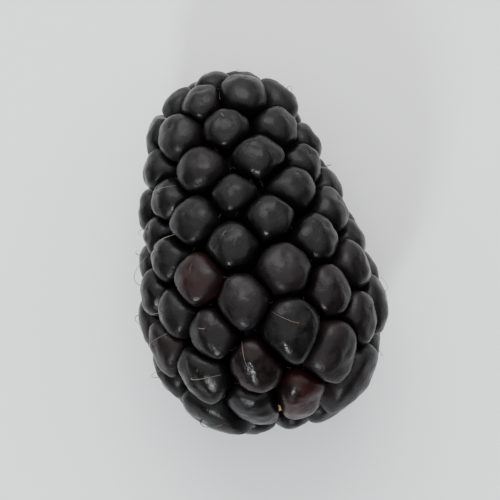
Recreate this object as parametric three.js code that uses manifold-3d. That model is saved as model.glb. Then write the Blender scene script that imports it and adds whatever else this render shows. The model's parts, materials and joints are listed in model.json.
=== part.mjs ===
/**
 * A ripe bramble berry, picked without its stalk and lying on its side.
 *
 * Millimetres, +Z up. The berry's tip points to +Y, and the origin is on the surface that
 * the berry lies on, under the middle of its box.
 *
 * The head is worked out on the berry's own axis, Y, with azimuth 0 facing +Z, and is then
 * turned to the way that it lies.
 */
import * as THREE from "three";
import { mergeVertices } from "three/addons/utils/BufferGeometryUtils.js";
import Module from "manifold-3d";

const wasm = await Module();
wasm.setup();

// The seat surface, which the drupelets sit on: a surface of revolution round Y.
const GIRTH_RADIUS = 8.3;
const TIP_REACH = 18.5;
const STEM_REACH = 9;
const TIP_TAPER = 0.5; // share of the radius lost from girth to tip
const TAPER_POWER = 1.3;
const TIP_BLUNTNESS = 14;
const STEM_BLUNTNESS = 2.4;
const BARE_END_RADIUS = 3.3; // no seat lies nearer to the axis than this at the stem end
const PROFILE_STEPS = 1800;

// The spiral that sets out the drupelets, from the stem end to the tip.
const DRUPELETS = 89;
const SPIRAL_STEP = 157.4; // degrees from one drupelet to the next
const SPIRAL_START = 218.7;
const ROW_CURL = 0.0015; // radians for each square mm off the girth, alike at both ends
const STEM_GROWTH = 0.23; // share by which seats are roomier at the stem end, less at the tip

// How the drupelets differ, and how they settle against each other.
const SEED = 497;
const STRAY = 0.95; // farthest that a seat strays each way from the spiral
const SIZE_SPREAD = 0.12; // share by which sizes differ each way
const SETTLING_ROUNDS = 16;
const SETTLING_ROOM = 0.57; // room that a drupelet seeks each way, as a share of the spacing
const SETTLING_PUSH = 0.2; // share of an overlap that one round takes away
const STEM_MARGIN = 1; // length of the profile that seats leave free at the stem end

// One drupelet: an egg whose sides are pressed flat by the drupelets round it.
const EGG_WIDTH = 0.66; // half-width before it is pressed, as a share of the spacing
const EGG_LENGTH = 1.1; // length along the berry, as a share of the width
const STEM_STRETCH = 0.35; // extra length towards the stem end, as a share
const EGG_SINK = 0.85; // how far the egg's middle lies under the seat surface
const EGG_STAND = 0.7; // the part of its half-height that doesn't go with its size
const EGG_HEIGHT = 2.05; // the part that does
const FIRMNESS = 7; // a higher number gives flatter sides and sharper edges
const GAP = 0.08; // room left between two drupelets
const SIDES = 9;
const RINGS = [25, 49, 76, 116]; // degrees from the egg's top

// The fleshy middle that the drupelets grow from.
const FLESH_DEPTH = 0.9; // how far it lies under the seat surface
const FLESH_SIDES = 20;
const FLESH_STEPS = 12;

// The receptacle: the pale end of the berry's middle, in a socket at the stem end.
const RECEPTACLE_RADIUS = 1.5;
const RECEPTACLE_FACE = -8.8; // where its face lies along the axis
const RECEPTACLE_DISH = 0.4; // depth of the hollow in its face
const RECEPTACLE_ROUNDING = 0.3; // depth of the rounded rim
const RECEPTACLE_DEPTH = 5.5;
const RECEPTACLE_SIDES = 20;
const CLEARANCE = 0.3; // between the receptacle and its socket
const SOCKET_RADIUS = RECEPTACLE_RADIUS + CLEARANCE;
const SOCKET_MOUTH = -12; // beyond the drupelets, so that the cut is open

// How the berry lies.
const NOSE_DOWN = 9.4; // degrees that the tip leans down
const PRESSED_FLAT = 0.3; // depth of the flats that it lies on

const HALF_TURN = Math.PI;

/** Radius of the seat surface at height y along the axis. */
function seatRadius(y) {
  if (y < 0) {
    return GIRTH_RADIUS * Math.sqrt(1 - (-y / STEM_REACH) ** STEM_BLUNTNESS);
  }
  const share = y / TIP_REACH;
  const cone = 1 - TIP_TAPER * share ** TAPER_POWER;
  return GIRTH_RADIUS * cone * Math.sqrt(1 - share ** TIP_BLUNTNESS);
}

/** The seat surface's profile from stem end to tip, as y, radius, length and area so far. */
function walkProfile() {
  const walk = [];
  for (let i = 0; i <= PROFILE_STEPS; i += 1) {
    const angle = HALF_TURN * (i / PROFILE_STEPS - 0.5);
    const y = (angle < 0 ? STEM_REACH : TIP_REACH) * Math.sin(angle);
    const radius = seatRadius(y);
    if (y < 0 && radius < BARE_END_RADIUS) {
      continue;
    }
    const last = walk.at(-1);
    const length = last ? Math.hypot(y - last.y, radius - last.radius) : 0;
    const area = last ? Math.PI * length * (radius + last.radius) : 0;
    walk.push({
      y,
      radius,
      length: length + (last ? last.length : 0),
      area: area + (last ? last.area : 0),
    });
  }
  return walk;
}

const profile = walkProfile();
const profileLength = profile.at(-1).length;
const headArea = profile.at(-1).area;
const spacing = Math.sqrt((headArea / DRUPELETS) * (2 / Math.sqrt(3)));

/** The profile's point where its length or area reaches an amount. */
function profileAt(measure, amount) {
  let low = 0;
  let high = profile.length - 1;
  while (high - low > 1) {
    const middle = (low + high) >> 1;
    if (profile[middle][measure] <= amount) {
      low = middle;
    } else {
      high = middle;
    }
  }
  const from = profile[low];
  const to = profile[high];
  const share = (amount - from[measure]) / (to[measure] - from[measure]);
  const held = THREE.MathUtils.clamp(share, 0, 1);
  return {
    y: THREE.MathUtils.lerp(from.y, to.y, held),
    radius: THREE.MathUtils.lerp(from.radius, to.radius, held),
    length: THREE.MathUtils.lerp(from.length, to.length, held),
    rise: to.y - from.y,
    spread: to.radius - from.radius,
  };
}

/** A seat's point and its three directions: outward, tipward and sideways. */
function frameOf(seat) {
  const point = profileAt("length", seat.length);
  const slope = Math.hypot(point.rise, point.spread);
  const rise = point.rise / slope;
  const spread = point.spread / slope;
  const sine = Math.sin(seat.azimuth);
  const cosine = Math.cos(seat.azimuth);
  return {
    radius: point.radius,
    at: new THREE.Vector3(point.radius * sine, point.y, point.radius * cosine),
    outward: new THREE.Vector3(rise * sine, -spread, rise * cosine),
    tipward: new THREE.Vector3(spread * sine, rise, spread * cosine),
    sideways: new THREE.Vector3(cosine, 0, -sine),
  };
}

/** Numbers from 0 up to 1, the same ones in the same order for a seed. */
function drawsFrom(seed) {
  let state = seed;
  return () => {
    state = (state * 1664525 + 1013904223) % 4294967296;
    return state / 4294967296;
  };
}

/** Sets the drupelets out on a spiral, with each a little astray and of its own size. */
function setOut() {
  const draw = drawsFrom(SEED);
  const seats = [];
  for (let i = 0; i < DRUPELETS; i += 1) {
    const share = (i + 0.5) / DRUPELETS;
    const swept = share + STEM_GROWTH * share * (1 - share);
    const point = profileAt("area", swept * headArea);
    const turn = THREE.MathUtils.degToRad(i * SPIRAL_STEP + SPIRAL_START);
    const azimuth = turn + ROW_CURL * point.y ** 2;
    const tipwardStray = (2 * draw() - 1) * STRAY;
    const sidewaysStray = (2 * draw() - 1) * STRAY;
    seats.push({
      length: point.length + tipwardStray,
      azimuth: azimuth + sidewaysStray / Math.max(point.radius, 0.8),
      size: (1 + (2 * draw() - 1) * SIZE_SPREAD) * Math.sqrt(1 + STEM_GROWTH * (1 - 2 * share)),
    });
  }
  return seats;
}

/** Lets drupelets that press on each other slide apart along the seat surface. */
function settle(seats) {
  for (let round = 0; round < SETTLING_ROUNDS; round += 1) {
    const frames = seats.map(frameOf);
    seats.forEach((seat, i) => {
      const push = new THREE.Vector3();
      seats.forEach((other, j) => {
        if (i === j) {
          return;
        }
        const apart = frames[i].at.clone().sub(frames[j].at);
        const room = SETTLING_ROOM * spacing * (seat.size + other.size);
        const overlap = Math.max(room - apart.length(), 0);
        push.addScaledVector(apart.normalize(), overlap * SETTLING_PUSH);
      });
      const length = seat.length + push.dot(frames[i].tipward);
      seat.length = THREE.MathUtils.clamp(length, STEM_MARGIN, profileLength);
      seat.azimuth += push.dot(frames[i].sideways) / Math.max(frames[i].radius, 0.4);
    });
  }
  return seats;
}

/** Turns the berry from its own axis to the way that it lies. */
const lying = new THREE.Matrix4().makeRotationX(-THREE.MathUtils.degToRad(NOSE_DOWN));

/** Makes a solid from a closed geometry of this berry, in the way that the berry lies. */
function solidFrom(geometry) {
  const bare = geometry.clone();
  bare.deleteAttribute("normal");
  bare.deleteAttribute("uv");
  const welded = mergeVertices(bare, 1e-5);
  const mesh = new wasm.Mesh({
    numProp: 3,
    vertProperties: new Float32Array(welded.attributes.position.array),
    triVerts: new Uint32Array(welded.index.array),
  });
  return new wasm.Manifold(mesh);
}

/** Makes a geometry from a solid. */
function geometryFrom(solid) {
  const mesh = solid.getMesh();
  const geometry = new THREE.BufferGeometry();
  const points = new THREE.BufferAttribute(Float32Array.from(mesh.vertProperties), 3);
  geometry.setAttribute("position", points);
  geometry.setIndex(new THREE.BufferAttribute(Uint32Array.from(mesh.triVerts), 1));
  geometry.computeVertexNormals();
  return geometry;
}

/** The egg of one drupelet before it is pressed: its middle and its three half-axes. */
function eggOn(seat) {
  const frame = frameOf(seat);
  const stemward = THREE.MathUtils.clamp(0.5 - frame.at.y / STEM_REACH, 0, 1);
  const width = EGG_WIDTH * spacing * seat.size;
  return {
    size: seat.size,
    middle: frame.at.addScaledVector(frame.outward, -EGG_SINK),
    axes: new THREE.Matrix4().makeBasis(
      frame.sideways.multiplyScalar(width),
      frame.outward.clone().multiplyScalar(EGG_STAND + EGG_HEIGHT * seat.size),
      frame.tipward.multiplyScalar(-width * (EGG_LENGTH + STEM_STRETCH * stemward)),
    ),
  };
}

/** What presses on an egg, its neighbours and the receptacle: which way and how far off. */
function pressesOn(egg, eggs) {
  const presses = [];
  eggs.forEach((other) => {
    const toward = other.middle.clone().sub(egg.middle);
    const apart = toward.length();
    if (apart === 0 || apart > 2 * spacing) {
      return;
    }
    const bias = ((spacing / 2) ** 2 * (egg.size ** 2 - other.size ** 2)) / (2 * apart);
    presses.push({ toward: toward.normalize(), limit: (apart - GAP) / 2 + bias });
  });
  if (egg.middle.y < 0) {
    const inward = new THREE.Vector3(-egg.middle.x, 0, -egg.middle.z);
    const room = inward.length() - SOCKET_RADIUS - GAP;
    presses.push({ toward: inward.normalize(), limit: room });
  }
  return presses;
}

/** One drupelet: the egg's surface, held back smoothly wherever a neighbour presses. */
function drupelet(egg, eggs) {
  const presses = pressesOn(egg, eggs);
  const outline = [new THREE.Vector2(0, 1)];
  RINGS.forEach((degrees) => {
    const angle = THREE.MathUtils.degToRad(degrees);
    outline.push(new THREE.Vector2(Math.sin(angle), Math.cos(angle)));
  });
  outline.push(new THREE.Vector2(0, -1));
  const geometry = new THREE.LatheGeometry(outline.reverse(), SIDES).applyMatrix4(egg.axes);
  const points = geometry.attributes.position;
  const point = new THREE.Vector3();
  for (let i = 0; i < points.count; i += 1) {
    point.fromBufferAttribute(points, i);
    const reach = point.length();
    point.normalize();
    let hold = reach ** -FIRMNESS;
    presses.forEach(({ toward, limit }) => {
      hold += Math.max(point.dot(toward) / limit, 0) ** FIRMNESS;
    });
    point.multiplyScalar(hold ** (-1 / FIRMNESS)).add(egg.middle);
    points.setXYZ(i, point.x, point.y, point.z);
  }
  return solidFrom(geometry.applyMatrix4(lying));
}

/** A body turned round the berry's axis, from pairs of radius and y. */
function turned(pairs, sides) {
  const outline = pairs.map(([radius, y]) => new THREE.Vector2(radius, y));
  return new THREE.LatheGeometry(outline, sides).applyMatrix4(lying);
}

/** The flesh inside the drupelets: the seat surface, shrunk. */
function flesh() {
  const pairs = [];
  for (let i = 0; i <= FLESH_STEPS; i += 1) {
    const angle = HALF_TURN * (i / FLESH_STEPS - 0.5);
    const y = (angle < 0 ? STEM_REACH : TIP_REACH) * Math.sin(angle);
    const radius = seatRadius(y) * (1 - FLESH_DEPTH / GIRTH_RADIUS);
    pairs.push([radius, y - FLESH_DEPTH * Math.sin(angle)]);
  }
  return turned(pairs, FLESH_SIDES);
}

/** The receptacle, dished at its face and tapering to a rounded root. */
function receptacle() {
  const radius = RECEPTACLE_RADIUS;
  const root = RECEPTACLE_FACE + RECEPTACLE_DEPTH;
  return turned(
    [
      [0, RECEPTACLE_FACE + RECEPTACLE_DISH],
      [radius * 0.5, RECEPTACLE_FACE + RECEPTACLE_DISH * 0.75],
      [radius * 0.85, RECEPTACLE_FACE],
      [radius, RECEPTACLE_FACE + RECEPTACLE_ROUNDING],
      [radius * 0.9, (RECEPTACLE_FACE + root) / 2],
      [radius * 0.5, root - RECEPTACLE_ROUNDING],
      [0, root],
    ],
    RECEPTACLE_SIDES,
  );
}

/** The plain socket that the receptacle stands in. */
function socket() {
  const floor = RECEPTACLE_FACE + RECEPTACLE_DEPTH + CLEARANCE;
  return turned(
    [
      [0, SOCKET_MOUTH],
      [SOCKET_RADIUS, SOCKET_MOUTH],
      [SOCKET_RADIUS, floor],
      [0, floor],
    ],
    RECEPTACLE_SIDES,
  );
}

/** The head: drupelets and flesh in one, with the socket cut and the flats pressed. */
function head(eggs) {
  let solid = solidFrom(flesh());
  eggs.forEach((egg) => {
    solid = solid.add(drupelet(egg, eggs));
  });
  solid = solid.subtract(solidFrom(socket()));
  const lowest = solid.boundingBox().min[2];
  const slab = new THREE.BoxGeometry(100, 100, 10);
  slab.translate(0, 0, lowest + PRESSED_FLAT - 5);
  return geometryFrom(solid.subtract(solidFrom(slab)));
}

const berry = new THREE.Group();

const drupelets = new THREE.Mesh(
  head(settle(setOut()).map(eggOn)),
  new THREE.MeshStandardMaterial({ color: "#17131a", roughness: 0.38, metalness: 0 }),
);
drupelets.name = "drupelets";
berry.add(drupelets);

const stemEnd = new THREE.Mesh(
  receptacle(),
  new THREE.MeshStandardMaterial({ color: "#b9a878", roughness: 0.75, metalness: 0 }),
);
stemEnd.name = "receptacle";
berry.add(stemEnd);

const box = new THREE.Box3().setFromObject(berry);
const middle = box.getCenter(new THREE.Vector3());
berry.position.set(-middle.x, -middle.y, -box.min.z);

export default berry;
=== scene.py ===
"""Dresses the frame of a ripe bramble berry that lies on its side.

The rule that sets out the drupelets is the solid model's own. It works in millimetres on
the berry's own axis, Y, with the tip at +Y and azimuth 0 facing +Z. `Lie` then turns what
it gives to the way that the berry lies, in metres.
"""

import bisect
import json
import math
import random
from dataclasses import dataclass
from functools import partial

import bmesh
import bpy
from bpy.props import FloatProperty, FloatVectorProperty, IntProperty, PointerProperty
from mathutils import Matrix, Vector, noise

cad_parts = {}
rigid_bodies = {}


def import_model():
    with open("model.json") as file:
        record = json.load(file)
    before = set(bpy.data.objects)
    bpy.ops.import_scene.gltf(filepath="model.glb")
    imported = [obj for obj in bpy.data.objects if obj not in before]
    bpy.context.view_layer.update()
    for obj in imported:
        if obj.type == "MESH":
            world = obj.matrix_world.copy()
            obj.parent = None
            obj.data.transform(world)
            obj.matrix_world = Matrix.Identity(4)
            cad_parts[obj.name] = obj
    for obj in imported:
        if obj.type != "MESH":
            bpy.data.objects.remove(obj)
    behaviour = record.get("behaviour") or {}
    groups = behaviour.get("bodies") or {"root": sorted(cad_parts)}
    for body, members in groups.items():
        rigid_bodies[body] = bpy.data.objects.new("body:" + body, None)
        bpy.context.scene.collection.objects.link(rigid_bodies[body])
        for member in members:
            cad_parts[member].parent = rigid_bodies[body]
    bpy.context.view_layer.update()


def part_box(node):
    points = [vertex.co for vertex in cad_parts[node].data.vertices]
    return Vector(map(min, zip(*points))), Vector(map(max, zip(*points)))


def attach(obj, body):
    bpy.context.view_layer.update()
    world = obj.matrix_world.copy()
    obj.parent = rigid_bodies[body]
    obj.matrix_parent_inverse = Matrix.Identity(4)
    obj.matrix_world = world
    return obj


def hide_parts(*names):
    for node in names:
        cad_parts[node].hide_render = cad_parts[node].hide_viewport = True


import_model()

bl_info = {
    "name": "Bramble Berry",
    "version": (1, 0, 0),
    "blender": (4, 5, 0),
    "location": "3D View > Sidebar > Bramble Berry",
    "description": "Makes a ripe bramble berry that lies on its side, with a plain stage",
    "category": "Object",
}

MM = 0.001

# The seat surface that the drupelets sit on, in mm: a surface of revolution.
GIRTH_RADIUS = 8.3
TIP_REACH = 18.5
STEM_REACH = 9
TIP_TAPER = 0.5  # share of the radius lost from girth to tip
TAPER_POWER = 1.3
TIP_BLUNTNESS = 14
STEM_BLUNTNESS = 2.4
BARE_END_RADIUS = 3.3  # no seat lies nearer to the axis than this at the stem end
PROFILE_STEPS = 1800

# The spiral that sets out the drupelets, from the stem end to the tip.
DRUPELETS = 89
SPIRAL_STEP = 157.4  # degrees from one drupelet to the next
SPIRAL_START = 218.7
ROW_CURL = 0.0015  # radians for each square mm off the girth, alike at both ends
STEM_GROWTH = 0.23  # share by which seats are roomier at the stem end, less at the tip

# How the drupelets differ, and how they settle against each other.
SEED = 497
STRAY = 0.95  # farthest that a seat strays each way from the spiral, in mm
STRAY_RADIUS = 0.8  # nearer to the axis than this, a stray turns a seat no further
SIZE_SPREAD = 0.12  # share by which sizes differ each way
SETTLING_ROUNDS = 16
SETTLING_ROOM = 0.57  # room that a drupelet seeks each way, as a share of the spacing
SETTLING_PUSH = 0.2  # share of an overlap that one round takes away
SETTLING_RADIUS = 0.4  # nearer to the axis than this, a push turns a seat no further
STEM_MARGIN = 1  # length of the profile that seats leave free at the stem end

# The draws of the solid model, so that both set out the same berry.
DRAW_FACTOR = 1664525
DRAW_STEP = 1013904223
DRAW_RANGE = 2**32

# One drupelet before those round it press on it: an egg.
EGG_WIDTH = 0.66  # half-width, as a share of the spacing
EGG_LENGTH = 1.1  # length along the berry, as a share of the width
STEM_STRETCH = 0.35  # extra length towards the stem end, as a share
EGG_SINK = 0.85  # how far its middle lies under the seat surface, in mm
EGG_STAND = 0.7  # the part of its half-height that doesn't go with its size, in mm
EGG_HEIGHT = 2.05  # the part that does

# The receptacle, in mm.
RECEPTACLE_RADIUS = 1.5
RECEPTACLE_FACE = -8.8  # where its face lies along the axis
RECEPTACLE_DISH = 0.4  # depth of the hollow in its face
RECEPTACLE_ROUNDING = 0.3  # depth of the rounded rim
RECEPTACLE_DEPTH = 5.5
RECEPTACLE_SIDES = 20
CLEARANCE = 0.3  # between the receptacle and the drupelets

NOSE_DOWN = 9.4  # degrees that the tip leans down

# What only the finer pieces have, in mm. A relief has layers of a height and a number to
# a mm.
TINY = 0.01  # too short to see
RING_CROWDING = 0.4  # how far a drupelet's rings crowd up, as a share of its half-height
SKIN_SEED = 7
LATE_DRUPELETS = {1: 0.6, 35: 0.35}  # place along the spiral, and how red it still is
FAINT_FLUSH = 0.01  # redness of the others at the tip
STEM_FLUSH = 0.2  # the most that they gain towards the stem end

FLESH_STEPS = 70
FLESH_SIDES = 96
FLESH_CLEARANCE = 0.06  # between the receptacle's side and the socket's wall
FLESH_FLOOR = 0.2  # between the receptacle's root and the socket's floor
FLESH_LIP = 0.1  # least width of the lip round the socket
FLESH_RELIEF = (0.16, 1.1), (0.06, 3.1)

RIM_STEPS = 6  # steps from one point of the receptacle's outline to the next
RIM_SIDES = 72
TORN_RELIEF = (0.14, 2.6), (0.05, 7)
TORN_DEPTH = 1  # how far in from the face its relief ends
TORN_FADE = 0.8  # how much of that depth it fades out over
STRANDS = 11  # torn strands round the rim
STRAND_HEIGHT = 0.035
STRAND_CROWDING = 2.2  # how far they crowd together, in radians of a strand's wave
STRAND_CROWDS = 3  # and in how many places
LOBES = (0.05, 5, 0.7), (0.03, 8, 0)  # height, number round the side, and turn

SCAR_TIPWARD = 0.05, 0.3  # how far tipward of a drupelet's top its scar lies, as slopes
SCAR_ASIDE = 0.15  # and how far to either side
STYLE_SEED = 21
SHELTERED_SIDE = -1.9, -0.6  # azimuths between which most of the whole styles are left
SHELTERED_REACH = 8  # how far towards the tip
SHELTER = 0.8  # how far down the ranking, from 0 to 1, the styles elsewhere start
BARE_SHARE = 0.6  # share of the other drupelets that have lost their style altogether
STYLE_ROOT = 0.97  # where a style grows from, as a share of the egg's half-height
STYLE_DROOP = 1.15  # how far its end comes down again, as a share of its length
STUB_LENGTH = 0.45
STUB_DROOP = 0.6

HAIR_SEED = 33
HAIR_CROWDING = 1.5  # the higher, the more of the hairs stand near the stem end
HAIR_DROOP = 0.4
HAIR_STAND = 0.4  # the most that a hair's root lies over the seats
GROOVE_WIDTH = 0.12  # most by which a hair is nearer to one drupelet than to the next
LEAST_HEIGHT = 2  # no style or hair grows lower, where the berry would lie on it
LEAN_POWER = 1.5  # the higher, the nearer to its end a style or hair leans over

# The stage: the floor's reach each way, in metres, and the colours of light.
FLOOR_REACH = 0.8
WARM_WHITE = 1, 0.985, 0.97
COOL_WHITE = 0.95, 0.98, 1
SKY_WHITE = 0.92, 0.96, 1, 1


def linear(code):
    """The linear colour of an sRGB hex code."""
    parts = [int(code[i : i + 2], 16) / 255 for i in (1, 3, 5)]
    return tuple(p / 12.92 if p <= 0.04045 else ((p + 0.055) / 1.055) ** 2.4 for p in parts)


def opaque(colour):
    """A linear colour with its alpha."""
    return (*colour[:3], 1)


# The rule that sets out the drupelets


def seat_radius(y):
    """Radius of the seat surface at y along the axis."""
    if y < 0:
        return GIRTH_RADIUS * math.sqrt(1 - (-y / STEM_REACH) ** STEM_BLUNTNESS)
    share = y / TIP_REACH
    cone = 1 - TIP_TAPER * share**TAPER_POWER
    return GIRTH_RADIUS * cone * math.sqrt(1 - share**TIP_BLUNTNESS)


@dataclass
class Step:
    """A step of the seat surface's profile, with the length and the area so far."""

    y: float
    radius: float
    length: float = 0
    area: float = 0


class Profile:
    """The seat surface's profile, from the stem end to the tip."""

    def __init__(self):
        self.steps = []
        for i in range(PROFILE_STEPS + 1):
            angle = math.pi * (i / PROFILE_STEPS - 0.5)
            y = (STEM_REACH if angle < 0 else TIP_REACH) * math.sin(angle)
            step = Step(y, seat_radius(y))
            if y < 0 and step.radius < BARE_END_RADIUS:
                continue
            if self.steps:
                last = self.steps[-1]
                length = math.hypot(y - last.y, step.radius - last.radius)
                step.length = last.length + length
                step.area = last.area + math.pi * length * (step.radius + last.radius)
            self.steps.append(step)
        self.length = self.steps[-1].length
        self.area = self.steps[-1].area
        # The drupelets would be this far apart in a net of even triangles.
        self.spacing = math.sqrt((self.area / DRUPELETS) * (2 / math.sqrt(3)))
        self.amounts = {
            "length": [step.length for step in self.steps],
            "area": [step.area for step in self.steps],
        }

    def at(self, measure, amount):
        """The step where its length or area reaches an amount, with its rise and spread."""
        amounts = self.amounts[measure]
        low = min(max(bisect.bisect_right(amounts, amount) - 1, 0), len(amounts) - 2)
        start, end = self.steps[low], self.steps[low + 1]
        share = min(max((amount - amounts[low]) / (amounts[low + 1] - amounts[low]), 0), 1)
        step = Step(
            start.y + (end.y - start.y) * share,
            start.radius + (end.radius - start.radius) * share,
            start.length + (end.length - start.length) * share,
        )
        return step, end.y - start.y, end.radius - start.radius


@dataclass
class Seat:
    """Where a drupelet sits, along the profile and round the axis, and its size."""

    length: float
    azimuth: float
    size: float = 1


class Place:
    """The point of a seat, and its directions: outward, tipward and sideways."""

    def __init__(self, profile, seat):
        step, rise, spread = profile.at("length", seat.length)
        slope = math.hypot(rise, spread)
        rise, spread = rise / slope, spread / slope
        sine, cosine = math.sin(seat.azimuth), math.cos(seat.azimuth)
        self.radius = step.radius
        self.at = Vector((step.radius * sine, step.y, step.radius * cosine))
        self.outward = Vector((rise * sine, -spread, rise * cosine))
        self.tipward = Vector((spread * sine, rise, spread * cosine))
        self.sideways = Vector((cosine, 0, -sine))


def draws_from(seed):
    """Numbers from 0 up to 1, the same ones in the same order for a seed."""
    state = seed
    while True:
        state = (state * DRAW_FACTOR + DRAW_STEP) % DRAW_RANGE
        yield state / DRAW_RANGE


def set_out(profile):
    """Sets the drupelets out on a spiral, with each a little astray and of its own size."""
    draw = draws_from(SEED)
    seats = []
    for i in range(DRUPELETS):
        share = (i + 0.5) / DRUPELETS
        swept = share + STEM_GROWTH * share * (1 - share)
        step, _, _ = profile.at("area", swept * profile.area)
        turn = math.radians(i * SPIRAL_STEP + SPIRAL_START)
        azimuth = turn + ROW_CURL * step.y**2
        tipward_stray = (2 * next(draw) - 1) * STRAY
        sideways_stray = (2 * next(draw) - 1) * STRAY
        size = 1 + (2 * next(draw) - 1) * SIZE_SPREAD
        seat = Seat(
            step.length + tipward_stray,
            azimuth + sideways_stray / max(step.radius, STRAY_RADIUS),
            size * math.sqrt(1 + STEM_GROWTH * (1 - 2 * share)),
        )
        seats.append(seat)
    return seats


def settle(profile, seats):
    """Lets drupelets that press on each other slide apart along the seat surface."""
    for _ in range(SETTLING_ROUNDS):
        places = [Place(profile, seat) for seat in seats]
        for seat, here in zip(seats, places):
            push = Vector((0, 0, 0))
            for other, there in zip(seats, places):
                if other is seat:
                    continue
                apart = here.at - there.at
                room = SETTLING_ROOM * profile.spacing * (seat.size + other.size)
                overlap = max(room - apart.length, 0)
                push += apart.normalized() * (overlap * SETTLING_PUSH)
            length = seat.length + push.dot(here.tipward)
            seat.length = min(max(length, STEM_MARGIN), profile.length)
            seat.azimuth += push.dot(here.sideways) / max(here.radius, SETTLING_RADIUS)
    return seats


class Egg:
    """One drupelet before it is pressed: its place, its middle and its half-axes.

    `stemward` goes from 0, half the stem's reach tipward of the girth, to 1 as far stemward.
    """

    def __init__(self, profile, seat):
        self.size = seat.size
        self.place = Place(profile, seat)
        self.middle = self.place.at - self.place.outward * EGG_SINK
        self.stemward = min(max(0.5 - self.place.at.y / STEM_REACH, 0), 1)
        width = EGG_WIDTH * profile.spacing * seat.size
        length = width * (EGG_LENGTH + STEM_STRETCH * self.stemward)
        self.half_axes = Vector((width, length, EGG_STAND + EGG_HEIGHT * seat.size))


def ring_point(radius, y, turn):
    """A point on a ring round the axis, a share of a turn from azimuth 0."""
    angle = 2 * math.pi * turn
    return Vector((radius * math.sin(angle), y, radius * math.cos(angle)))


def receptacle_outline():
    """The receptacle's outline, as pairs of radius and y."""
    radius, face = RECEPTACLE_RADIUS, RECEPTACLE_FACE
    root = face + RECEPTACLE_DEPTH
    return [
        (0, face + RECEPTACLE_DISH),
        (radius * 0.5, face + RECEPTACLE_DISH * 0.75),
        (radius * 0.85, face),
        (radius, face + RECEPTACLE_ROUNDING),
        (radius * 0.9, (face + root) / 2),
        (radius * 0.5, root - RECEPTACLE_ROUNDING),
        (0, root),
    ]


class Lie:
    """Turns what is on the berry's own axis, in mm, to the way that it lies, in metres."""

    def __init__(self):
        self.turn = Matrix.Rotation(-math.radians(NOSE_DOWN), 3, "X")
        low = Vector((math.inf, math.inf, math.inf))
        for radius, y in receptacle_outline():
            for i in range(RECEPTACLE_SIDES):
                around = self.way(ring_point(radius, y, i / RECEPTACLE_SIDES)) * MM
                low = Vector([min(pair) for pair in zip(low, around)])
        self.shift = Vector(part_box("receptacle")[0]) - low

    def way(self, direction):
        """A direction of the berry as it lies."""
        return self.turn @ Vector(direction)

    def point(self, place):
        """A point of the berry as it lies."""
        return self.way(place) * MM + self.shift


profile = Profile()
eggs = [Egg(profile, seat) for seat in settle(profile, set_out(profile))]
lie = Lie()


# Node trees, and meshes made with and without them


def add(tree, kind, inputs=None, out=0, **settings):
    """Adds a node, sets its options, and fills or links its inputs by name or place.

    It gives the output in use that `out` names or counts, or the node where `out` is None.
    """
    node = tree.nodes.new(kind)
    for name, value in settings.items():
        setattr(node, name, value)
    for key, value in (inputs or {}).items():
        in_use = [socket for socket in node.inputs if socket.enabled]
        names = [socket.name for socket in in_use]
        socket = in_use[names.index(key) if key in names else key]
        if isinstance(value, bpy.types.NodeSocket):
            tree.links.new(value, socket)
        else:
            socket.default_value = value
    if out is None:
        return node
    in_use = [socket for socket in node.outputs if socket.enabled]
    names = [socket.name for socket in in_use]
    return in_use[names.index(out) if out in names else out]


def new_tree(name, sockets, attributes):
    """A tree that takes a geometry and the named sockets, and gives a geometry.

    It comes with what adds its nodes, its inputs, and the attributes that it reads.
    """
    tree = bpy.data.node_groups.new(name, "GeometryNodeTree")
    tree.interface.new_socket("Geometry", in_out="OUTPUT", socket_type="NodeSocketGeometry")
    tree.interface.new_socket("Geometry", in_out="INPUT", socket_type="NodeSocketGeometry")
    for label, kind in sockets.items():
        kind, _, subtype = kind.partition(" ")
        socket_type = f"NodeSocket{kind}"
        socket = tree.interface.new_socket(label, in_out="INPUT", socket_type=socket_type)
        if subtype:
            socket.subtype = subtype
    node = partial(add, tree)
    read = {"position": node("GeometryNodeInputPosition")}
    for kind, labels in attributes.items():
        for label in labels:
            read[label] = node(
                "GeometryNodeInputNamedAttribute", {"Name": label}, data_type=kind
            )
    return tree, node, node("NodeGroupInput", out=None).outputs, read


def mesh_of_points(name, points, columns):
    """A mesh of loose points, with an attribute for each column of numbers or vectors."""
    mesh = bpy.data.meshes.new(name)
    mesh.from_pydata(points, [], [])
    for label, column in columns.items():
        if isinstance(column[0], Vector):
            attribute = mesh.attributes.new(label, "FLOAT_VECTOR", "POINT")
            attribute.data.foreach_set("vector", [part for item in column for part in item])
        else:
            attribute = mesh.attributes.new(label, "FLOAT", "POINT")
            attribute.data.foreach_set("value", column)
    return mesh


def grown(name, mesh, tree, values, keep=()):
    """Runs a tree on a mesh, and gives what it makes as a plain mesh object."""
    piece = bpy.data.objects.new(name, mesh)
    bpy.context.scene.collection.objects.link(piece)
    modifier = piece.modifiers.new(tree.name, "NODES")
    modifier.node_group = tree
    for socket in tree.interface.items_tree:
        if socket.name in values:
            modifier[socket.identifier] = values[socket.name]
    graph = bpy.context.evaluated_depsgraph_get()
    made = bpy.data.meshes.new_from_object(
        piece.evaluated_get(graph), preserve_all_data_layers=True, depsgraph=graph
    )
    if not made.polygons:
        raise RuntimeError(f"{name} came out empty")
    piece.modifiers.remove(modifier)
    piece.data = made
    made.name = name
    finish = next(material for material in made.materials if material)
    made.materials.clear()
    made.materials.append(finish)
    spare = [a.name for a in made.attributes if not a.is_internal and not a.is_required]
    for label in spare:
        if label not in keep:
            made.attributes.remove(made.attributes[label])
    return piece


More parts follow.
